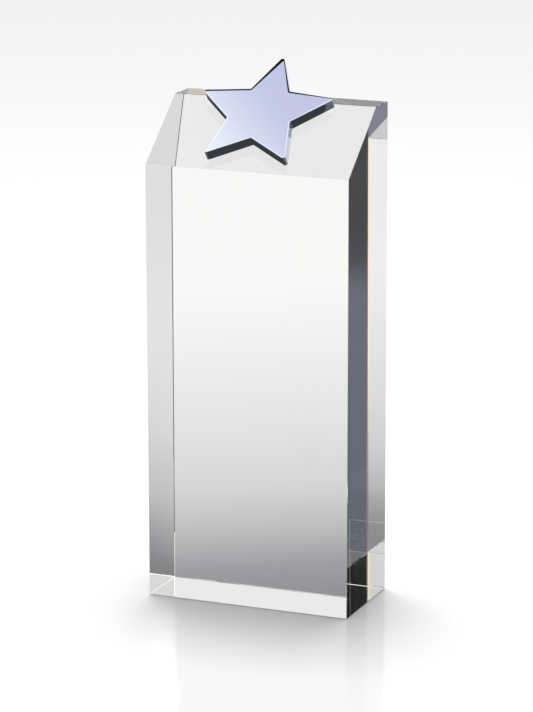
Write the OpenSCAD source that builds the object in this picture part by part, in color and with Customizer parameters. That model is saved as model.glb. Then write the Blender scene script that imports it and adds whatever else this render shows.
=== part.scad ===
// Crystal award. An upright block of clear optical crystal has its top cut by
// a slope that rises from the front face to a narrow level ledge at the back.
// A five-pointed star of plated metal lies on the slope, one point up, and is
// held there by a film of clear adhesive.
// The origin is the centre of the base, +Z is up and the front looks along -Y.

/* [Block] */
// Width of the block, side to side
block_width = 76; // [56:1:110]
// Depth of the block, front to back
block_depth = 38; // [30:1:60]
// Height of the block at its back
block_height = 178; // [100:1:260]
// Height that the slope gains from the front face to its ridge
slope_rise = 21; // [12:0.5:30]
// Depth of the level ledge behind the ridge
ledge_depth = 11.5; // [5:0.5:15]
// Setback of the polished chamfer on every edge of the block
edge_chamfer = 0.25; // [0.2:0.05:1]

/* [Star] */
// Distance from the star's centre to its points, before they are rounded
point_radius = 26.3; // [20:0.1:32]
// Distance from the star's centre to its notches
notch_radius = 12.4; // [8:0.1:15]
// Radius that rounds each point
point_round = 0.8; // [0.3:0.1:1.5]
// Thickness of the star, square to the slope
star_thickness = 4; // [2:0.5:8]
// Distance up the slope from its lower edge to the star's two lower points
toe_gap = 4.3; // [2:0.1:8]
// Sideways place of the star's centre, from the middle of the block
star_shift = -1; // [-3:0.5:3]

/* [Adhesive] */
// Thickness of the adhesive film between the star and the slope
film_thickness = 0.15; // [0.05:0.05:0.3]
// Distance that the film stops short of the star's edge and the slope's ends
film_margin = 0.6; // [0.4:0.1:1]

/* [Hidden] */

// Points on the star, and the angle from a point to the notch beside it
point_count = 5;
half_step = 180 / point_count;

// The slope: its run front to back, its length and its angle from level
slope_run = block_depth - ledge_depth;
slope_length = sqrt(slope_run * slope_run + slope_rise * slope_rise);
slope_angle = atan2(slope_rise, slope_run);
front_y = -block_depth / 2;
front_height = block_height - slope_rise;

// Half the angle that the star's two edges make at a point, the distance from
// its centre to every edge, and the place of a point's rounding centre
point_half_angle = atan2(
    notch_radius * sin(half_step),
    point_radius - notch_radius * cos(half_step)
);
edge_distance = point_radius * sin(point_half_angle);
round_centre = point_radius - point_round / sin(point_half_angle);

// The angle that each half of a point's rounding turns through, and its steps
point_bend = 90 - point_half_angle;
round_steps = 5;

// Distance from the star's centre down to its two lower points, and the place
// of that centre up the slope from the slope's lower edge
lower_reach = round_centre * cos(half_step) + point_round;
star_place = toe_gap + lower_reach;

// Length that makes a cutting prism longer than the block in any direction
prism_length = 2 * (block_width + block_depth + block_height);

// A rectangle from low to high with its corners cut off at 45 degrees
module cut_rectangle(low, high, cut) {
    polygon([
        [low.x + cut, low.y],
        [high.x - cut, low.y],
        [high.x, low.y + cut],
        [high.x, high.y - cut],
        [high.x - cut, high.y],
        [low.x + cut, high.y],
        [low.x, high.y - cut],
        [low.x, low.y + cut]
    ]);
}

// A point set back from corner towards the point beyond
function toward(corner, beyond, distance) =
    corner + distance * (beyond - corner) / norm(beyond - corner);

// Corners of the block seen from its side, as [y, z], starting at the front foot
function side_corners() = [
    [front_y, 0],
    [block_depth / 2, 0],
    [block_depth / 2, block_height],
    [front_y + slope_run, block_height],
    [front_y, front_height]
];

// Side outline of the block with each corner chamfered
module side_outline() {
    corners = side_corners();
    count = len(corners);
    polygon([
        for (i = [0 : count - 1])
            for (beyond = [corners[(i + count - 1) % count], corners[(i + 1) % count]])
                toward(corners[i], beyond, edge_chamfer)
    ]);
}

// Moves its children from level ground to the slope: x runs across the block,
// y up the slope from its lower edge and z square out of it
module on_slope() {
    translate([0, front_y, front_height])
        rotate([slope_angle, 0, 0])
            children();
}

// Prism across the block that carries the side outline
module side_prism() {
    translate([-block_width / 2, 0, 0])
        rotate([90, 0, 90])
            linear_extrude(block_width)
                side_outline();
}

// Prism along the height that chamfers the four upright edges
module upright_prism() {
    linear_extrude(block_height)
        cut_rectangle(
            [-block_width / 2, -block_depth / 2],
            [block_width / 2, block_depth / 2],
            edge_chamfer
        );
}

// Prism front to back that chamfers the side edges of the base and the ledge
module level_prism() {
    translate([0, block_depth / 2, 0])
        rotate([90, 0, 0])
            linear_extrude(block_depth)
                cut_rectangle(
                    [-block_width / 2, 0],
                    [block_width / 2, block_height],
                    edge_chamfer
                );
}

// Prism along the slope that chamfers the slope's two side edges
module slope_prism() {
    on_slope()
        translate([0, prism_length / 2, 0])
            rotate([90, 0, 0])
                linear_extrude(prism_length)
                    cut_rectangle(
                        [-block_width / 2, -prism_length],
                        [block_width / 2, 0],
                        edge_chamfer
                    );
}

// A point at distance from the star's centre, at a turn from the x axis
function around(distance, turn) = distance * [cos(turn), sin(turn)];

// The star's outline drawn in by inset: sharp notches and rounded points.
// Every edge is equally far from the centre, so drawing it in is a scaling.
module star_outline(inset) {
    ratio = (edge_distance - inset) / edge_distance;
    polygon([
        for (i = [0 : point_count - 1])
            let (turn = 90 + 2 * half_step * i)
            each [
                ratio * around(notch_radius, turn - half_step),
                for (bend = [-point_bend : point_bend / round_steps : point_bend])
                    ratio * (around(round_centre, turn) + around(point_round, turn + bend))
            ]
    ]);
}

module crystal_block() {
    color("aliceblue", 0.5)
        intersection() {
            side_prism();
            upright_prism();
            level_prism();
            slope_prism();
        }
}

// The film follows the star and ends where the slope does
module adhesive_film() {
    color("ghostwhite", 0.5)
        on_slope()
            linear_extrude(film_thickness)
                intersection() {
                    translate([star_shift, star_place])
                        star_outline(film_margin);
                    translate([-block_width / 2 + film_margin, film_margin])
                        square([block_width - 2 * film_margin, slope_length - 2 * film_margin]);
                }
}

module star() {
    color("lightsteelblue")
        on_slope()
            translate([star_shift, star_place, film_thickness])
                linear_extrude(star_thickness)
                    star_outline(0);
}

crystal_block();
adhesive_film();
star();
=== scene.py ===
"""Crystal award: a clear sloped block with a plated star bonded to its slope.

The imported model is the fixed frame. The block, the adhesive film and the star are
modelled again at the same size with softened, polished edges, and each gets its own
finish. A plain pale studio stands around them, with cards set out of sight, which give
clear crystal its tone.
"""

import logging
import math
from dataclasses import dataclass, field
from enum import Enum
from typing import Any, Callable, Iterable, Optional, Union

import bmesh
import bpy
from mathutils import Matrix, Vector


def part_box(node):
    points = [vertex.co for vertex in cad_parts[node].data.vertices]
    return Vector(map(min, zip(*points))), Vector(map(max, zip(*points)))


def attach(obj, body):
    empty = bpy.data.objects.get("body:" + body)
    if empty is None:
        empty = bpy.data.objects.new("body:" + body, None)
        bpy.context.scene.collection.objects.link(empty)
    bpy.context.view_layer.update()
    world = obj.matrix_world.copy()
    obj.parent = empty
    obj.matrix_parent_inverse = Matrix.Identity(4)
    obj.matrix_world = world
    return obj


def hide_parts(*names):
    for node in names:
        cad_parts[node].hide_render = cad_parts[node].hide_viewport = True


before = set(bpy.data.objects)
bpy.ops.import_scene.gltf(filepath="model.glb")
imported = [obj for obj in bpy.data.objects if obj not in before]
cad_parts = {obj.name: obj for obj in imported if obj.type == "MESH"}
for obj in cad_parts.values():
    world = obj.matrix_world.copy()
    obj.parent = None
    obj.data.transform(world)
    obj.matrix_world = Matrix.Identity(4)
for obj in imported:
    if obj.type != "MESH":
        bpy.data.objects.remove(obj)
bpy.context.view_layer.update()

log = logging.getLogger("crystal_award")

MM = 0.001
BODY = "root"

Colour = tuple[float, float, float]
Direction = tuple[float, float, float]
Number = Union[int, float]
Range = tuple[float, float]

UP = (0.0, 0.0, 1.0)


# ---------------------------------------------------------------- shader maths


class Value:
    """A number that varies over a surface, with Python's operators as Math nodes."""

    def __init__(self, recipe: "Recipe", socket: bpy.types.NodeSocket) -> None:
        """Wraps an output socket.

        Args:
            recipe: The recipe whose node tree holds the socket.
            socket: The output that carries the number.
        """
        self.recipe = recipe
        self.socket = socket

    def _maths(self, operation: str, first: Any, second: Any = None) -> "Value":
        """Adds one Math node.

        Args:
            operation: The node's operation.
            first: Its first operand.
            second: Its second operand, where it has one.

        Returns:
            The result.
        """
        operands = {0: first} if second is None else {0: first, 1: second}
        return self.recipe.add("ShaderNodeMath", {"operation": operation}, operands)

    def __add__(self, other: Any) -> "Value":
        """The sum."""
        return self._maths("ADD", self, other)

    def __radd__(self, other: Number) -> "Value":
        """The sum, with the number first."""
        return self._maths("ADD", other, self)

    def __sub__(self, other: Any) -> "Value":
        """The difference."""
        return self._maths("SUBTRACT", self, other)

    def __rsub__(self, other: Number) -> "Value":
        """The difference, with the number first."""
        return self._maths("SUBTRACT", other, self)

    def __mul__(self, other: Any) -> "Value":
        """The product."""
        return self._maths("MULTIPLY", self, other)

    def __truediv__(self, other: Any) -> "Value":
        """The quotient."""
        return self._maths("DIVIDE", self, other)

    def at_least(self, other: Any) -> "Value":
        """The larger of this and another value."""
        return self._maths("MAXIMUM", self, other)

    def root(self) -> "Value":
        """The square root."""
        return self._maths("SQRT", self)

    def step(self, low: Number, high: Number) -> "Value":
        """A smooth rise from 0 where this is low to 1 where it is high.

        Args:
            low: The value where the rise starts.
            high: The value where it ends.

        Returns:
            The rise, held between 0 and 1.
        """
        return self.recipe.add(
            "ShaderNodeMapRange",
            {"interpolation_type": "SMOOTHSTEP"},
            {"Value": self, "From Min": low, "From Max": high},
        )


class Recipe:
    """A material under construction."""

    def __init__(self, name: str) -> None:
        """Starts an empty material.

        Args:
            name: The material's name.
        """
        self.material = bpy.data.materials.new(name)
        self.material.use_nodes = True
        self.tree = self.material.node_tree
        self.tree.nodes.clear()

    def node(self, kind: str, settings: dict[str, Any], inputs: dict[Any, Any]) -> bpy.types.Node:
        """Adds any node.

        Args:
            kind: The node's type.
            settings: The node's own settings, and "stops" for a ramp's colours by place.
            inputs: What feeds each socket, by name or number: a Value, a socket or plain data.

        Returns:
            The node.
        """
        made = self.tree.nodes.new(kind)
        for name, setting in settings.items():
            if name == "stops":
                self._set_stops(made.color_ramp, setting)
            else:
                setattr(made, name, setting)
        for name, feed in inputs.items():
            if isinstance(feed, Value):
                feed = feed.socket
            if isinstance(feed, bpy.types.NodeSocket):
                self.tree.links.new(feed, made.inputs[name])
            else:
                made.inputs[name].default_value = feed
        return made

    @staticmethod
    def _set_stops(ramp: bpy.types.ColorRamp, stops: dict[float, Colour]) -> None:
        """Gives a ramp its colours.

        Args:
            ramp: The ramp.
            stops: Each colour by its place from 0 to 1.
        """
        while len(ramp.elements) < len(stops):
            ramp.elements.new(1.0)
        for element, (place, colour) in zip(ramp.elements, stops.items()):
            element.position = place
            element.color = (*colour, 1.0)

    def add(self, kind: str, settings: dict[str, Any], inputs: dict[Any, Any]) -> Value:
        """Adds a node and wraps its first output.

        Args:
            kind: The node's type.
            settings: The node's own settings.
            inputs: What feeds each socket.

        Returns:
            The first output as a value.
        """
        return Value(self, self.node(kind, settings, inputs).outputs[0])

    def place(self) -> bpy.types.NodeSocket:
        """The point on the piece, in metres."""
        return self.node("ShaderNodeTexCoord", {}, {}).outputs["Object"]

    def axes(self, vector: bpy.types.NodeSocket) -> tuple[Value, Value, Value]:
        """Splits a vector.

        Args:
            vector: The vector's socket.

        Returns:
            Its x, y and z.
        """
        outputs = self.node("ShaderNodeSeparateXYZ", {}, {"Vector": vector}).outputs
        return Value(self, outputs[0]), Value(self, outputs[1]), Value(self, outputs[2])

    def along(self, direction: Iterable[float]) -> Value:
        """How far the point on the piece lies along a direction.

        Args:
            direction: The direction, of length 1.

        Returns:
            The distance from the origin, in metres.
        """
        dot = self.node(
            "ShaderNodeVectorMath",
            {"operation": "DOT_PRODUCT"},
            {0: self.place(), 1: tuple(direction)},
        )
        return Value(self, dot.outputs["Value"])

    def noise(self, size: float, detail: float = 2.0, stretch: Direction = (1.0, 1.0, 1.0)) -> Value:
        """Cloudy noise over the piece.

        Args:
            size: The size of its largest patches, in metres.
            detail: How many finer layers it has.
            stretch: How much finer it is along each axis.

        Returns:
            The noise, about 0.5 on average.
        """
        vector = self.node("ShaderNodeMapping", {}, {"Vector": self.place(), "Scale": stretch})
        return self.add(
            "ShaderNodeTexNoise",
            {"noise_dimensions": "3D"},
            {"Vector": vector.outputs[0], "Scale": 1.0 / size, "Detail": detail},
        )

    def blend(self, share: Any, start: Any, end: Any) -> bpy.types.NodeSocket:
        """Mixes two colours.

        Args:
            share: The share of the end colour.
            start: The colour where the share is 0.
            end: The colour where the share is 1.

        Returns:
            The mixed colour's socket.
        """
        colours = {
            name: (*colour, 1.0) if isinstance(colour, tuple) else colour
            for name, colour in ((6, start), (7, end))
        }
        mix = self.node("ShaderNodeMix", {"data_type": "RGBA"}, {0: share, **colours})
        return mix.outputs[2]

    def darken(self, colour: bpy.types.NodeSocket, share: Value) -> bpy.types.NodeSocket:
        """Multiplies a colour by a number.

        Args:
            colour: The colour's socket.
            share: What is kept of it.

        Returns:
            The darker colour's socket.
        """
        mix = self.node(
            "ShaderNodeMix",
            {"data_type": "RGBA", "blend_type": "MULTIPLY"},
            {0: 1.0, 6: colour, 7: share},
        )
        return mix.outputs[2]

    def turned_from(self, normal: Optional[Direction] = None) -> Value:
        """How far light arrives turned away from a direction.

        Args:
            normal: The direction, or None for the surface's own.

        Returns:
            0 for light along the direction, 1 for light square to it.
        """
        inputs: dict[str, Any] = {"Blend": 0.5}
        if normal is not None:
            inputs["Normal"] = self.node(
                "ShaderNodeCombineXYZ", {}, dict(zip("XYZ", normal))
            ).outputs[0]
        return Value(self, self.node("ShaderNodeLayerWeight", {}, inputs).outputs["Facing"])

    def bump(self, height: Value, strength: float, distance: float) -> bpy.types.NodeSocket:
        """Turns a height into a surface normal.

        Args:
            height: The height, from 0 to 1.
            strength: How much of the bump shows.
            distance: The depth that the height's whole range stands for, in metres.

        Returns:
            The normal's socket.
        """
        made = self.node(
            "ShaderNodeBump", {}, {"Height": height, "Strength": strength, "Distance": distance}
        )
        return made.outputs["Normal"]

    def finish(self, shader: bpy.types.Node) -> bpy.types.Material:
        """Closes the recipe.

        Args:
            shader: The node that the surface shows.

        Returns:
            The material.
        """
        self.node("ShaderNodeOutputMaterial", {}, {"Surface": shader.outputs[0]})
        return self.material


# -------------------------------------------------------------------- finishes


@dataclass(frozen=True)
class CrystalFinish:
    """Clear optical crystal with polished faces."""

    bend: float = 1.538
    clear: Colour = (1.0, 1.0, 1.0)
    veiled: Colour = (0.985, 0.992, 0.995)
    cleanest: float = 0.0
    haziest: float = 0.006
    wipe_size: float = 0.03
    wipe_stretch: Direction = (1.0, 1.0, 0.3)

    def material(self) -> bpy.types.Material:
        """Builds the crystal.

        Returns:
            The material.
        """
        recipe = Recipe("optical_crystal")
        wipe = recipe.noise(self.wipe_size, 3.0, self.wipe_stretch).step(0.5, 0.75)
        shader = recipe.node(
            "ShaderNodeBsdfPrincipled",
            {},
            {
                "Base Color": recipe.blend(wipe, self.clear, self.veiled),
                "Roughness": self.cleanest + wipe * (self.haziest - self.cleanest),
                "IOR": self.bend,
                "Transmission Weight": 1.0,
            },
        )
        return recipe.finish(shader)


@dataclass(frozen=True)
class StarPlating:
    """Mirror-polished plating, a cool lavender, with a painted reflection that pales it towards one
    side.
    """

    # pale and deep: the two ends of a painted reflection gradient across the plating.
    pale: Colour = (0.81, 0.85, 0.96)
    deep: Colour = (0.77, 0.80, 0.95)
    painted_sweep: Vector = field(default_factory=lambda: Vector((0.75, 0.4, 0.53)))
    sweep_start: float = 0.07
    sweep_end: float = 0.12
    smoothest: float = 0.015
    dullest: float = 0.05
    patch_size: float = 0.012
    patch_share: float = 0.25
    peel_size: float = 0.0035
    peel_strength: float = 0.5
    peel_depth: float = 0.000002

    def material(self) -> bpy.types.Material:
        """Builds the plating.

        Returns:
            The material.
        """
        recipe = Recipe("star_plating")
        # Painted reflection: the colour pales towards one side, standing in for the light that the
        # plating mirrors.
        painted_sweep = recipe.along(self.painted_sweep.normalized()).step(self.sweep_start, self.sweep_end)
        patch = recipe.noise(self.patch_size, 4.0)
        cloud = (painted_sweep + (patch - 0.5) * self.patch_share).step(0.0, 1.0)
        shader = recipe.node(
            "ShaderNodeBsdfPrincipled",
            {},
            {
                "Base Color": recipe.blend(cloud, self.pale, self.deep),
                "Metallic": 1.0,
                "Roughness": self.smoothest + patch * (self.dullest - self.smoothest),
                "Normal": recipe.bump(
                    recipe.noise(self.peel_size), self.peel_strength, self.peel_depth
                ),
            },
        )
        return recipe.finish(shader)


@dataclass(frozen=True)
class AdhesiveFinish:
    """Clear cured adhesive, pressed thin, with the sheen of the star's back in it."""

    body: Colour = (0.62, 0.64, 0.70)
    bubble: Colour = (0.80, 0.82, 0.86)
    bubble_size: float = 0.0022
    bubble_edge: Range = (0.12, 0.22)
    flow_size: float = 0.006
    smoothest: float = 0.12
    dullest: float = 0.3
    silver: float = 0.6
    coat: float = 0.6
    relief_strength: float = 0.3
    relief: float = 0.00002

    def material(self) -> bpy.types.Material:
        """Builds the adhesive.

        Returns:
            The material.
        """
        recipe = Recipe("clear_adhesive")
        cells = recipe.node(
            "ShaderNodeTexVoronoi",
            {"feature": "F1"},
            {"Vector": recipe.place(), "Scale": 1.0 / self.bubble_size, "Randomness": 1.0},
        )
        bubble = 1.0 - Value(recipe, cells.outputs["Distance"]).step(*self.bubble_edge)
        flow = recipe.noise(self.flow_size, 3.0)
        shader = recipe.node(
            "ShaderNodeBsdfPrincipled",
            {},
            {
                "Base Color": recipe.blend(bubble, self.body, self.bubble),
                "Metallic": self.silver,
                "Roughness": self.smoothest + flow * (self.dullest - self.smoothest),
                "Coat Weight": self.coat,
                "Normal": recipe.bump(flow + bubble * 0.5, self.relief_strength, self.relief),
            },
        )
        return recipe.finish(shader)


# -------------------------------------------------------------------- modelling


class Part(Enum):
    """What an edit works on."""

    CORNERS = "VERT"
    EDGES = "EDGE"
    FACES = "FACE"


class Bench:
    """The modelling bench: one mesh in edit mode, with selection by place."""

    def __init__(self, piece: bpy.types.Object) -> None:
        """Puts a piece on the bench.

        Args:
            piece: The active object.
        """
        self.piece = piece

    def __enter__(self) -> "Bench":
        """Opens edit mode."""
        bpy.ops.object.mode_set(mode="EDIT")
        return self

    def __exit__(self, *_: Any) -> None:
        """Leaves edit mode."""
        bpy.ops.object.mode_set(mode="OBJECT")

    def pick(self, part: Part, wanted: Callable[[Any], bool] = lambda _: True) -> None:
        """Selects the corners, edges or faces that pass a test, and nothing else.

        Args:
            part: What to select.
            wanted: The test that each one has to pass.
        """
        bpy.ops.mesh.select_mode(type=part.value)
        bpy.ops.mesh.select_all(action="DESELECT")
        mesh = bmesh.from_edit_mesh(self.piece.data)
        group = {Part.CORNERS: mesh.verts, Part.EDGES: mesh.edges, Part.FACES: mesh.faces}[part]
        for item in group:
            if wanted(item):
                item.select_set(True)
        mesh.select_flush_mode()
        bmesh.update_edit_mesh(self.piece.data)


def start(add: Callable[..., Any], **options: Any) -> bpy.types.Object:
    """Adds a primitive with nothing else selected.

    Args:
        add: The operator that adds it.
        **options: The operator's options.

    Returns:
        The new object.
    """
    bpy.ops.object.select_all(action="DESELECT")
    add(**options)
    return bpy.context.active_object


def settle(piece: bpy.types.Object, name: str) -> bpy.types.Object:
    """Moves a piece's place, turn and scale into its mesh, and names it.

    Args:
        piece: The selected piece.
        name: Its name.

    Returns:
        The same piece.
    """
    bpy.ops.object.transform_apply(location=True, rotation=True, scale=True)
    piece.name = name
    piece.data.name = name
    return piece


def dress(piece: bpy.types.Object, finish: bpy.types.Material) -> None:
    """Gives a piece one finish all over.

    Args:
        piece: The piece.
        finish: Its material.
    """
    piece.data.materials.clear()
    piece.data.materials.append(finish)


@dataclass
class CrystalBlock:
    """The upright block, its top cut by the slope and a level ledge behind it."""

    low: Vector = field(default_factory=lambda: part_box("crystal_block")[0])
    high: Vector = field(default_factory=lambda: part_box("crystal_block")[1])
    slope_rise: float = 21 * MM
    ledge_depth: float = 11.5 * MM
    edge_chamfer: float = 0.25 * MM
    chamfer_rings: int = 2

    @property
    def slope_run(self) -> float:
        """The slope's length front to back."""
        return self.high.y - self.low.y - self.ledge_depth

    @property
    def slope_angle(self) -> float:
        """The slope's angle from level."""
        return math.atan2(self.slope_rise, self.slope_run)

    @property
    def slope_foot(self) -> Vector:
        """The middle of the slope's lower edge."""
        return Vector((0.0, self.low.y, self.high.z - self.slope_rise))

    @property
    def slope_out(self) -> Vector:
        """The direction square out of the slope."""
        return Vector((0.0, -math.sin(self.slope_angle), math.cos(self.slope_angle)))

    @property
    def slope_length(self) -> float:
        """The slope's length from its lower edge to the ridge."""
        return math.hypot(self.slope_run, self.slope_rise)

    def build(self) -> bpy.types.Object:
        """Saws the slope off a squared block and polishes every edge.

        Returns:
            The finished piece.
        """
        block = start(
            bpy.ops.mesh.primitive_cube_add,
            size=1.0,
            location=(self.low + self.high) / 2,
            scale=self.high - self.low,
        )
        settle(block, "cut_crystal_block")
        with Bench(block) as bench:
            bench.pick(Part.FACES)
            bpy.ops.mesh.bisect(
                plane_co=self.slope_foot,
                plane_no=self.slope_out,
                use_fill=True,
                clear_outer=True,
            )
            bench.pick(Part.EDGES)
            bpy.ops.mesh.bevel(
                offset_type="OFFSET",
                offset=self.edge_chamfer,
                segments=self.chamfer_rings,
                affect="EDGES",
            )
            bench.pick(Part.FACES)
            bpy.ops.mesh.normals_make_consistent(inside=False)
        dress(block, CrystalFinish().material())
        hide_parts("crystal_block")
        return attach(block, BODY)


@dataclass
class StarOutline:
    """The flat five-pointed outline, drawn about the origin with a point along +Y."""

    point_radius: float = 26.3 * MM
    notch_radius: float = 12.4 * MM
    point_round: float = 0.8 * MM
    notch_round: float = 0.25 * MM
    points: int = 5
    round_steps: int = 8

    @property
    def half_step(self) -> float:
        """The angle from a point to the notch beside it."""
        return math.pi / self.points

    @property
    def point_half_angle(self) -> float:
        """Half the angle between a point's two edges."""
        return math.atan2(
            self.notch_radius * math.sin(self.half_step),
            self.point_radius - self.notch_radius * math.cos(self.half_step),
        )

    @property
    def lower_reach(self) -> float:
        """The distance from the centre down to the two lower points."""
        round_centre = self.point_radius - self.point_round / math.sin(self.point_half_angle)
        return round_centre * math.cos(self.half_step) + self.point_round

    @property
    def edge_distance(self) -> float:
        """The distance from the centre to every edge."""
        return self.point_radius * math.sin(self.point_half_angle)

    @property
    def round_profile(self) -> float:
        """The bevel profile that follows a true arc at a point."""
        return (1.0 - 0.5 / (1.0 + math.sin(self.point_half_angle))) ** 2

    def draw(self) -> bpy.types.Object:
        """Draws the outline as one face.

        Returns:
            The flat star, selected and active.
        """
        star = start(
            bpy.ops.mesh.primitive_circle_add,
            vertices=2 * self.points,
            radius=self.point_radius,
            fill_type="NGON",
        )
        middle = (self.point_radius + self.notch_radius) / 2
        with Bench(star) as bench:
            bench.pick(Part.CORNERS, self._is_notch)
            ratio = self.notch_radius / self.point_radius
            bpy.ops.transform.resize(value=(ratio, ratio, 1.0), center_override=(0.0, 0.0, 0.0))
            bench.pick(Part.CORNERS, lambda corner: corner.co.length > middle)
            bpy.ops.mesh.bevel(
                affect="VERTICES",
                offset=self.point_round / math.tan(self.point_half_angle),
                segments=self.round_steps,
                profile=self.round_profile,
            )
            bench.pick(Part.CORNERS, lambda corner: corner.co.length < self.notch_radius * 1.01)
            bpy.ops.mesh.bevel(
                affect="VERTICES",
                offset=self.notch_round,
                segments=self.round_steps // 2,
                profile=0.5,
            )
        return star

    def _is_notch(self, corner: bmesh.types.BMVert) -> bool:
        """True if a corner of the plain ring is to become a notch."""
        turn = math.atan2(corner.co.x, corner.co.y) / self.half_step
        return round(turn) % 2 == 1


@dataclass
class Seat:
    """Where the star sits on the slope."""

    block: CrystalBlock
    outline: StarOutline
    toe_gap: float = 4.3 * MM
    sideways: float = -1.0 * MM

    def lay(self, piece: bpy.types.Object, lift: float, name: str) -> bpy.types.Object:
        """Lays a piece that was made on level ground on the slope.

        Args:
            piece: The piece, centred on the origin.
            lift: Its height above the slope.
            name: Its name.

        Returns:
            The piece in its place.
        """
        turn = Matrix.Rotation(self.block.slope_angle, 4, "X")
        up_slope = self.toe_gap + self.outline.lower_reach
        place = self.block.slope_foot + turn @ Vector((self.sideways, up_slope, lift))
        piece.location = place
        piece.rotation_euler = turn.to_euler()
        return settle(piece, name)


@dataclass
class AdhesiveFilm:
    """The clear film that holds the star, ending where the slope ends."""

    seat: Seat
    margin: float = 0.6 * MM
    thickness: float = 0.15 * MM
    clearance: float = 0.02 * MM

    def build(self) -> bpy.types.Object:
        """Cuts the film to the star and the slope, and rounds its rim.

        Returns:
            The finished piece.
        """
        outline = self.seat.outline
        film = outline.draw()
        drawn_in = 1.0 - self.margin / outline.edge_distance
        depth = self.thickness - 2 * self.clearance
        ridge = self.seat.block.slope_length - self.seat.toe_gap - outline.lower_reach
        with Bench(film) as bench:
            bench.pick(Part.FACES)
            bpy.ops.transform.resize(
                value=(drawn_in, drawn_in, 1.0), center_override=(0.0, 0.0, 0.0)
            )
            bpy.ops.mesh.bisect(
                plane_co=(0.0, ridge - self.margin, 0.0),
                plane_no=(0.0, 1.0, 0.0),
                clear_outer=True,
            )
            bench.pick(Part.FACES)
            bpy.ops.mesh.extrude_region_move(TRANSFORM_OT_translate={"value": (0.0, 0.0, depth)})
            bench.pick(Part.EDGES, lambda edge: all(v.co.z > depth / 2 for v in edge.verts))
            bpy.ops.mesh.bevel(offset=depth / 3, segments=2, affect="EDGES")
            bench.pick(Part.FACES)
            bpy.ops.mesh.normals_make_consistent(inside=False)
        self.seat.lay(film, self.clearance, "cured_adhesive_film")
        dress(film, AdhesiveFinish().material())
        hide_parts("adhesive_film")
        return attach(film, BODY)


@dataclass
class Star:
    """The plated star, its face polished off towards a soft rim."""

    seat: Seat
    lift: float = 0.15 * MM
    thickness: float = 4.0 * MM
    rim_width: float = 0.6 * MM
    rim_drop: float = 0.25 * MM
    rim_fall: float = 0.0085
    face_shift: Vector = field(default_factory=lambda: Vector((0.2, -0.4, 0.0)) * MM)
    top_lean: Vector = field(default_factory=lambda: Vector((0.6, -0.6, 0.0)) * MM)
    right_lean: Vector = field(default_factory=lambda: Vector((0.0, 0.4, 0.0)) * MM)
    edge_soften: float = 0.05 * MM
    smooth_angle: float = 40.0

    def build(self) -> bpy.types.Object:
        """Casts the star, polishes its rim and softens its edges.

        Returns:
            The finished piece.
        """
        star = self.seat.outline.draw()
        shoulder = self.thickness - self.rim_drop
        with Bench(star) as bench:
            bench.pick(Part.FACES)
            bpy.ops.mesh.extrude_region_move(
                TRANSFORM_OT_translate={"value": (0.0, 0.0, shoulder)}
            )
            bench.pick(Part.FACES, lambda face: face.calc_center_median().z > shoulder * 0.99)
            bpy.ops.transform.rotate(
                value=self.rim_fall, orient_axis="X", center_override=(0.0, 0.0, shoulder)
            )
            bpy.ops.mesh.inset(thickness=self.rim_width, depth=0.0)
            bpy.ops.transform.resize(
                value=(1.0, 1.0, 0.0), center_override=(0.0, 0.0, self.thickness)
            )
            bpy.ops.transform.translate(value=self.face_shift)
            bench.pick(Part.CORNERS, self._is_top_point)
            bpy.ops.transform.translate(value=self.top_lean)
            bench.pick(Part.CORNERS, self._is_right_point)
            bpy.ops.transform.translate(value=self.right_lean)
            for wanted in (self._is_foot, self._is_shoulder, self._is_face_edge):
                bench.pick(Part.EDGES, wanted)
                bpy.ops.mesh.bevel(offset=self.edge_soften, segments=2, affect="EDGES")
            bench.pick(Part.FACES, lambda face: len(face.verts) > 4)
            bpy.ops.mesh.poke()
            bench.pick(Part.FACES)
            bpy.ops.mesh.normals_make_consistent(inside=False)
        self._smooth(star)
        self.seat.lay(star, self.lift, "plated_star")
        dress(star, StarPlating().material())
        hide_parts("star")
        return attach(star, BODY)

    def _is_top_point(self, corner: bmesh.types.BMVert) -> bool:
        """True if a corner belongs to the face's top point."""
        reach = self.seat.outline.point_radius * 0.85
        return corner.co.z > self.thickness * 0.999 and corner.co.y > reach

    def _is_right_point(self, corner: bmesh.types.BMVert) -> bool:
        """True if a corner belongs to the face's right point."""
        reach = self.seat.outline.point_radius * 0.8
        return corner.co.z > self.thickness * 0.999 and corner.co.x > reach

    def _is_foot(self, edge: bmesh.types.BMEdge) -> bool:
        """True if an edge lies along the back of the star."""
        return all(corner.co.z < 0.01 * MM for corner in edge.verts)

    def _is_face_edge(self, edge: bmesh.types.BMEdge) -> bool:
        """True if an edge lies round the flat face."""
        return all(corner.co.z > self.thickness - 0.001 * MM for corner in edge.verts)

    def _is_shoulder(self, edge: bmesh.types.BMEdge) -> bool:
        """True if an edge lies between the star's wall and its rim."""
        tilts = sorted(abs(face.normal.z) for face in edge.link_faces)
        return len(tilts) == 2 and tilts[0] < 0.01 and 0.1 < tilts[1] < 0.9999

    def _smooth(self, star: bpy.types.Object) -> None:
        """Shades the curved edges smooth and keeps the flats flat.

        Args:
            star: The selected star.
        """
        bpy.ops.object.shade_smooth_by_angle(angle=math.radians(self.smooth_angle))
        weights = star.modifiers.new("flat_faces", "WEIGHTED_NORMAL")
        weights.keep_sharp = True
        bpy.ops.object.modifier_apply(modifier=weights.name)


# ----------------------------------------------------------------------- studio


@dataclass(frozen=True)
class Sight:
    """Which rays see a card."""

    camera: bool = False
    glass: bool = False
    mirror: bool = False
    light: bool = False

    def apply(self, card: bpy.types.Object) -> None:
        """Sets a card's visibility.

        Args:
            card: The card.
        """
        card.visible_camera = self.camera
        card.visible_transmission = self.glass
        card.visible_glossy = self.mirror
        card.visible_diffuse = self.light
        card.visible_shadow = self.light
        card.visible_volume_scatter = False


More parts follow.
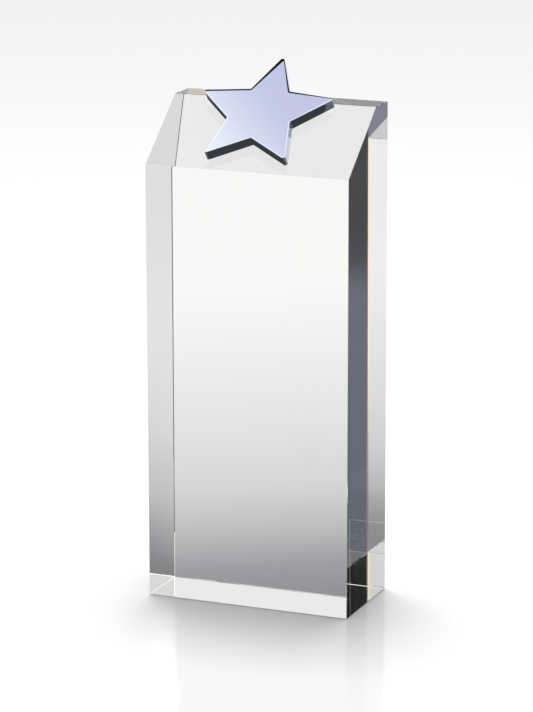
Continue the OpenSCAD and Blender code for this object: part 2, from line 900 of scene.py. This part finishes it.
def card(
    name: str,
    centre: Vector,
    across: Vector,
    up: Vector,
    material: bpy.types.Material,
    sight: Sight,
) -> bpy.types.Object:
    """Stands a flat card in the studio.

    Args:
        name: The card's name.
        centre: Its middle.
        across: The whole of its width, as a vector.
        up: The whole of its height, as a vector.
        material: What it shows.
        sight: Which rays see it.

    Returns:
        The card.
    """
    made = start(bpy.ops.mesh.primitive_plane_add, size=1.0)
    facing = across.cross(up).normalized()
    columns = (across, up, facing, centre)
    made.matrix_world = Matrix([(*row, last) for *row, last in zip(*columns)] + [(0, 0, 0, 1)])
    settle(made, name)
    dress(made, material)
    sight.apply(made)
    return made


@dataclass(frozen=True)
class FloorFinish:
    """The plain pale floor, with the soft sheen of a lacquered board."""

    middle: Colour = (0.53, 0.53, 0.535)
    outer: Colour = (0.62, 0.62, 0.625)
    middle_radius: float = 0.6
    outer_radius: float = 2.0
    sheen: float = 0.12
    mottle_size: float = 0.2
    mottle_share: float = 0.04

    def material(self) -> bpy.types.Material:
        """Builds the floor's surface.

        Returns:
            The material.
        """
        recipe = Recipe("pale_floor")
        x, y, _ = recipe.axes(recipe.place())
        away = (x * x + y * y).root().step(self.middle_radius, self.outer_radius)
        mottle = recipe.noise(self.mottle_size, 3.0)
        shader = recipe.node(
            "ShaderNodeBsdfPrincipled",
            {},
            {
                "Base Color": recipe.blend(away, self.middle, self.outer),
                "Roughness": self.sheen + (mottle - 0.5) * self.mottle_share,
            },
        )
        return recipe.finish(shader)


@dataclass(frozen=True)
class Clearing:
    """A direction along which a card is clear, so that light along it passes unchanged."""

    direction: Direction
    clear_at: float
    solid_at: float

    def shown(self, recipe: Recipe) -> Value:
        """How solid the card is, from 0 along the direction to 1 away from it."""
        return recipe.turned_from(self.direction).step(self.clear_at, self.solid_at)


# The ways that light crosses the cards, each with how far it is turned where a card is clear
# and where it is solid again.
SIDELONG = Clearing((math.sqrt(0.5), math.sqrt(0.5), 0.0), 0.42, 0.55)
STEEP = Clearing(UP, 0.4, 0.6)
FALLING = Clearing((0.1155, -0.2776, 0.9537), 0.6, 0.8)
SQUARE_ON = Clearing((0.925, -0.38, 0.0), 0.6, 0.8)
RIGHTWARD = Clearing((0.8, 0.6, 0.0), 0.25, 0.42)


def keep_of_sidelong(recipe: Recipe, kept: Any) -> Value:
    """The share that a pale card keeps in the light that crosses it sidelong.

    Args:
        recipe: The card's recipe.
        kept: The share that is kept.

    Returns:
        1 for light that comes straight, falling to the kept share.
    """
    straight = SIDELONG.shown(recipe)
    return straight + (1.0 - straight) * kept


@dataclass(frozen=True)
class GroundGlow:
    """What the crystal sees of the ground, painted on a glowing card: pale far behind, a painted
    shadow beneath, dark in front.
    """

    low: Vector
    high: Vector
    fade: Vector = field(default_factory=lambda: Vector((-0.52, 0.854, 0.0)))
    fade_start: float = -0.004
    fade_end: float = 0.496
    fade_stops: dict[float, Colour] = field(
        default_factory=lambda: {
            0.0: (0.28, 0.28, 0.29),
            0.09: (0.35, 0.35, 0.365),
            0.19: (0.553, 0.553, 0.563),
            0.3: (0.715, 0.715, 0.718),
            0.45: (0.815, 0.815, 0.81),
            0.62: (0.887, 0.887, 0.88),
            0.85: (0.972, 0.972, 0.96),
            1.0: (1.02, 1.02, 1.0),
        }
    )
    steep_turn: Range = (0.3, 0.74)
    # Painted shadow under the block and beside its right face.
    painted_shade: Colour = (0.016, 0.02, 0.022)
    steep: Colour = (0.87, 0.87, 0.865)
    slate: Colour = (0.155, 0.165, 0.205)
    charcoal: Colour = (0.05, 0.052, 0.055)
    steep_low: Colour = (0.63, 0.64, 0.65)
    steep_near: float = 0.07
    steep_far: float = 0.12
    steep_slate: Colour = (0.08, 0.105, 0.17)
    side_slant: float = 0.378
    side_edge: Range = (-0.15 * MM, 0.25 * MM)
    slate_near: float = 0.405
    slate_far: float = 0.505

    def material(self) -> bpy.types.Material:
        """Builds the glow.

        Returns:
            The material.
        """
        recipe = Recipe("ground_glow")
        x, y, _ = recipe.axes(recipe.place())
        away = (recipe.along(self.fade.normalized()) - self.fade_start) / (
            self.fade_end - self.fade_start
        )
        pale = recipe.node(
            "ShaderNodeValToRGB", {"stops": self.fade_stops}, {"Fac": away}
        ).outputs["Color"]
        steepness = 1.0 - recipe.turned_from().step(*self.steep_turn)
        steep = recipe.blend(y.step(self.steep_near, self.steep_far), self.steep_low, self.steep)
        behind = recipe.darken(
            recipe.blend(steepness, pale, steep),
            keep_of_sidelong(recipe, self._sidelong_share(away, steepness)),
        )
        front = recipe.blend(
            (0.0 - y).step(self.slate_near, self.slate_far), self.slate, self.charcoal
        )
        front = recipe.blend(steepness, front, self.steep_slate)
        backwards = y.step(self.low.y - 2 * MM, self.low.y)
        ground = recipe.blend(backwards, front, behind)
        # The mask is 0 under the block and beside its right face, where the painted shadow goes.
        clear = (x * -1.0).step(self.low.x * -1.0 - 1 * MM, self.low.x * -1.0)
        clear = clear.at_least(y.step(self.high.y - 1 * MM, self.high.y))
        edge = [self.high.x + offset for offset in self.side_edge]
        beside = (x - y * self.side_slant).step(*edge)
        clear = (clear * (1.0 - beside)).at_least(1.0 - backwards)
        shader = recipe.node(
            "ShaderNodeEmission",
            {},
            {"Color": recipe.blend(clear, self.painted_shade, ground), "Strength": 1.0},
        )
        return without_sampling(recipe.finish(shader))

    @staticmethod
    def _sidelong_share(away: Value, steepness: Value) -> Value:
        """The share of the ground's tone that sidelong light keeps.

        Args:
            away: How far behind the point lies, from 0 near to 1 far.
            steepness: How steeply the light falls, from 0 to 1.

        Returns:
            The share, most in the middle distance and least for steep light.
        """
        rise = away.step(0.06, 0.2) * 0.33
        fall = away.step(0.3, 1.05) * 0.24
        return 0.69 + rise - fall - steepness * 0.19


@dataclass(frozen=True)
class CardTone:
    """A card of one tone, or of a tone that runs from one colour to another."""

    name: str
    first: Colour
    last: Optional[Colour] = None
    direction: Direction = UP
    start: float = 0.0
    end: float = 1.0
    sidelong: float = 1.0
    clear_along: tuple[Clearing, ...] = ()

    def material(self) -> bpy.types.Material:
        """Builds the tone.

        Returns:
            The material.
        """
        recipe = Recipe(self.name)
        share = recipe.along(self.direction).step(self.start, self.end)
        colour = recipe.blend(share, self.first, self.last or self.first)
        if self.sidelong < 1.0:
            colour = recipe.darken(colour, keep_of_sidelong(recipe, self.sidelong))
        shader = recipe.node("ShaderNodeEmission", {}, {"Color": colour, "Strength": 1.0})
        for clearing in self.clear_along:
            clear = recipe.node("ShaderNodeBsdfTransparent", {}, {})
            shader = recipe.node(
                "ShaderNodeMixShader",
                {},
                {0: clearing.shown(recipe), 1: clear.outputs[0], 2: shader.outputs[0]},
            )
        return without_sampling(recipe.finish(shader))


def without_sampling(material: bpy.types.Material) -> bpy.types.Material:
    """Keeps a glowing card from being sampled as a lamp.

    Args:
        material: The card's material.

    Returns:
        The same material.
    """
    material.cycles.emission_sampling = "NONE"
    return material


@dataclass
class Studio:
    """The floor, the soft light and the cards around the award."""

    block: CrystalBlock
    seat: Seat
    shade_shift: Vector = field(default_factory=lambda: Vector((0.8, -4.2, 0.0)) * MM)
    shade_lift: float = 0.02 * MM
    floor_size: float = 8.0
    wall_distance: float = 0.9
    wall_width: float = 6.0
    wall_split: float = 0.342
    wall_top: float = 1.6
    world_light: float = 1.0
    lamp_power: float = 24.0
    lamp_size: float = 0.5
    lamp_place: Vector = field(default_factory=lambda: Vector((-0.11, 0.26, 1.4)))
    lamp_aim: Vector = field(default_factory=lambda: Vector((0.0, 0.0, 0.1)))

    def build(self) -> None:
        """Sets the whole studio up."""
        self._sky()
        self._floor()
        self._walls()
        self._painted_fringes()
        self._corner_shade()
        self._overhead()
        self._shade()
        self._lamp()

    def _sky(self) -> None:
        """Surrounds the award with even white light."""
        world = bpy.data.worlds.new("white_studio")
        world.use_nodes = True
        background = world.node_tree.nodes["Background"]
        background.inputs["Color"].default_value = (1.0, 1.0, 1.0, 1.0)
        background.inputs["Strength"].default_value = self.world_light
        bpy.context.scene.world = world

    def _floor(self) -> None:
        """Lays the pale floor, and under it the glow that only glass and mirrors see."""
        side = Vector((self.floor_size, 0.0, 0.0))
        depth = Vector((0.0, self.floor_size, 0.0))
        card(
            "floor",
            Vector((0.0, 0.0, -0.1 * MM)),
            side,
            depth,
            FloorFinish().material(),
            Sight(camera=True, light=True),
        )
        card(
            "ground_glow",
            Vector((0.0, 0.0, -0.2 * MM)),
            side,
            depth,
            GroundGlow(self.block.low, self.block.high).material(),
            Sight(glass=True, mirror=True),
        )

    def _walls(self) -> None:
        """Stands pale walls behind and a black one in front, for the glass alone."""
        far, split, top = self.wall_distance, self.wall_split, self.wall_top
        pale = CardTone("pale_wall", (0.90, 0.90, 0.885), sidelong=0.84)
        high = CardTone(
            "high_wall", (0.25, 0.25, 0.23), (1.6, 1.55, 1.4), (1.0, 0.0, 0.0), -0.1, 0.1
        )
        black = CardTone("black_wall", (0.008, 0.009, 0.01), (0.2, 0.2, 0.2), UP, 0.8, 1.5)
        for name, tone, y, foot, head in (
            ("back_wall", pale, far, 0.0, split),
            ("high_wall", high, far, split, top),
            ("front_wall", black, -far, 0.0, top),
        ):
            card(
                name,
                Vector((0.0, y, (foot + head) / 2)),
                Vector((self.wall_width, 0.0, 0.0)),
                Vector((0.0, 0.0, head - foot)),
                tone.material(),
                Sight(glass=True),
            )

    def _painted_fringes(self) -> None:
        """Stands glowing strips off the near left corner, which paint a gold fringe of light along
        the dark side.
        """
        # Painted light: glowing cards that the glass shows as a thin gold fringe.
        fringe_tone = CardTone(
            "painted_fringe_edge",
            (0.30, 0.19, 0.07),
            (0.26, 0.15, 0.05),
            end=0.15,
            clear_along=(STEEP,),
        )
        corner = self.block.low
        height = self.block.high.z
        card(
            "painted_fringe_edge",
            corner + Vector((-0.54 * MM, -1 * MM, height / 2)),
            Vector((0.28 * MM, 0.0, 0.0)),
            Vector((0.0, 0.0, height)),
            fringe_tone.material(),
            Sight(glass=True),
        )
        # The gold of the painted fringe at its brightest.
        bright = (1.29, 1.13, 0.70)
        for name, foot_tone, gap, tall, clear_along in (
            ("painted_fringe_flash", (0.25, 0.25, 0.23), 0.5 * MM, height, (STEEP, SIDELONG)),
            ("painted_fringe_foot", bright, 0.3 * MM, 22 * MM, (STEEP, SIDELONG, FALLING)),
        ):
            flash = CardTone(
                name, foot_tone, bright, start=0.005, end=0.09, clear_along=clear_along
            )
            card(
                name,
                corner + Vector((-gap, 1.95 * MM, tall / 2)),
                Vector((0.0, 1.3 * MM, 0.0)),
                Vector((0.0, 0.0, tall)),
                flash.material(),
                Sight(glass=True),
            )

    def _corner_shade(self) -> None:
        """Stands a black strip off the far right corner, to keep stray light off the dark side."""
        tone = CardTone("corner_shade", (0.004, 0.004, 0.004), clear_along=(SQUARE_ON,))
        corner = self.block.high
        card(
            "corner_shade",
            Vector((corner.x + 0.3 * MM, corner.y - 1.6 * MM, corner.z / 2)),
            Vector((0.0, 4 * MM, 0.0)),
            Vector((0.0, 0.0, corner.z)),
            tone.material(),
            Sight(glass=True),
        )

    def _overhead(self) -> None:
        """Hangs a graduated panel over the star, and a pale strip and a black bar behind it."""
        panel = CardTone(
            "graduated_panel",
            (0.69, 0.71, 0.82),
            (1.15, 1.15, 1.10),
            (-0.72, -0.69, 0.0),
            0.062,
            0.125,
        )
        strip = CardTone(
            "ledge_strip",
            (0.70, 0.71, 0.665),
            (1.41, 1.33, 1.08),
            (-1.0, 0.0, 0.0),
            0.05,
            0.068,
        )
        bar = CardTone("black_bar", (0.004, 0.004, 0.008))
        for tone, centre, width, up in (
            (panel, (-0.11, -0.01, 0.45), 0.24, (0.0, 0.24, 0.0)),
            (strip, (-0.0268, 0.1, 0.195), 0.0935, (0.0, 0.0, 0.017)),
            (bar, (-0.12, 0.1, 0.312), 0.36, (0.0, 0.0, 0.214)),
        ):
            card(
                tone.name,
                Vector(centre),
                Vector((width, 0.0, 0.0)),
                Vector(up),
                tone.material(),
                Sight(mirror=True),
            )

    def _shade(self) -> None:
        """Lays a dark star on the slope, which only the star's lower walls mirror: a painted dark
        reflection in those walls.
        """
        shade = self.seat.outline.draw()
        with Bench(shade) as bench:
            bench.pick(Part.FACES)
            bpy.ops.transform.translate(value=self.shade_shift)
        self.seat.lay(shade, self.shade_lift, "star_shade")
        # Painted reflection: the star's lower walls mirror this dark tone.
        tone = CardTone("star_shade", (0.042, 0.05, 0.05), clear_along=(RIGHTWARD,))
        dress(shade, tone.material())
        Sight(mirror=True).apply(shade)

    def _lamp(self) -> None:
        """Hangs one large soft lamp overhead."""
        data = bpy.data.lights.new("softbox", "AREA")
        data.shape = "RECTANGLE"
        data.size = self.lamp_size
        data.size_y = self.lamp_size
        data.energy = self.lamp_power
        lamp = bpy.data.objects.new("softbox", data)
        lamp.location = self.lamp_place
        aim = self.lamp_aim - self.lamp_place
        lamp.rotation_euler = aim.to_track_quat("-Z", "Y").to_euler()
        lamp.visible_camera = False
        lamp.visible_glossy = False
        lamp.visible_transmission = False
        bpy.context.collection.objects.link(lamp)


@dataclass
class Camera:
    """The camera, on a long lens a little to the right and above."""

    azimuth: float = 22.39
    elevation: float = 14.13
    roll: float = -0.122
    distance: float = 1.2493
    target: Vector = field(default_factory=lambda: Vector((-0.18, 0.0, 87.32)) * MM)
    lens: float = 178.36
    sensor: float = 36.0

    def build(self) -> None:
        """Sets the camera up as the scene's own."""
        data = bpy.data.cameras.new("camera")
        data.lens = self.lens
        data.sensor_width = self.sensor
        data.clip_start = 0.05
        data.clip_end = 50.0
        turn = math.radians(self.azimuth)
        tilt = math.radians(self.elevation)
        back = Vector(
            (math.sin(turn) * math.cos(tilt), -math.cos(turn) * math.cos(tilt), math.sin(tilt))
        )
        right = Vector((math.cos(turn), math.sin(turn), 0.0))
        upright = Matrix((right, back.cross(right), back)).transposed()
        rolled = upright @ Matrix.Rotation(math.radians(self.roll), 3, "Z")
        camera = bpy.data.objects.new("camera", data)
        place = Matrix.Translation(self.target + back * self.distance)
        camera.matrix_world = place @ rolled.to_4x4()
        bpy.context.collection.objects.link(camera)
        bpy.context.scene.camera = camera


def set_up_rays() -> None:
    """Gives light enough bounces to cross the block and come out again."""
    scene = bpy.context.scene
    scene.view_settings.view_transform = "Standard"
    cycles = scene.cycles
    cycles.max_bounces = 40
    cycles.glossy_bounces = 32
    cycles.transmission_bounces = 40
    cycles.diffuse_bounces = 4
    cycles.sample_clamp_indirect = 6.0
    cycles.use_denoising = True


def main() -> None:
    """Builds the award, its studio and its camera."""
    logging.basicConfig(level=logging.INFO, format="%(message)s")
    set_up_rays()
    Camera().build()
    block = CrystalBlock()
    outline = StarOutline()
    seat = Seat(block, outline)
    for maker in (block, AdhesiveFilm(seat), Star(seat)):
        piece = maker.build()
        log.info("%s: %d faces", piece.name, len(piece.data.polygons))
    Studio(block, seat).build()


if __name__ == "__main__":
    main()
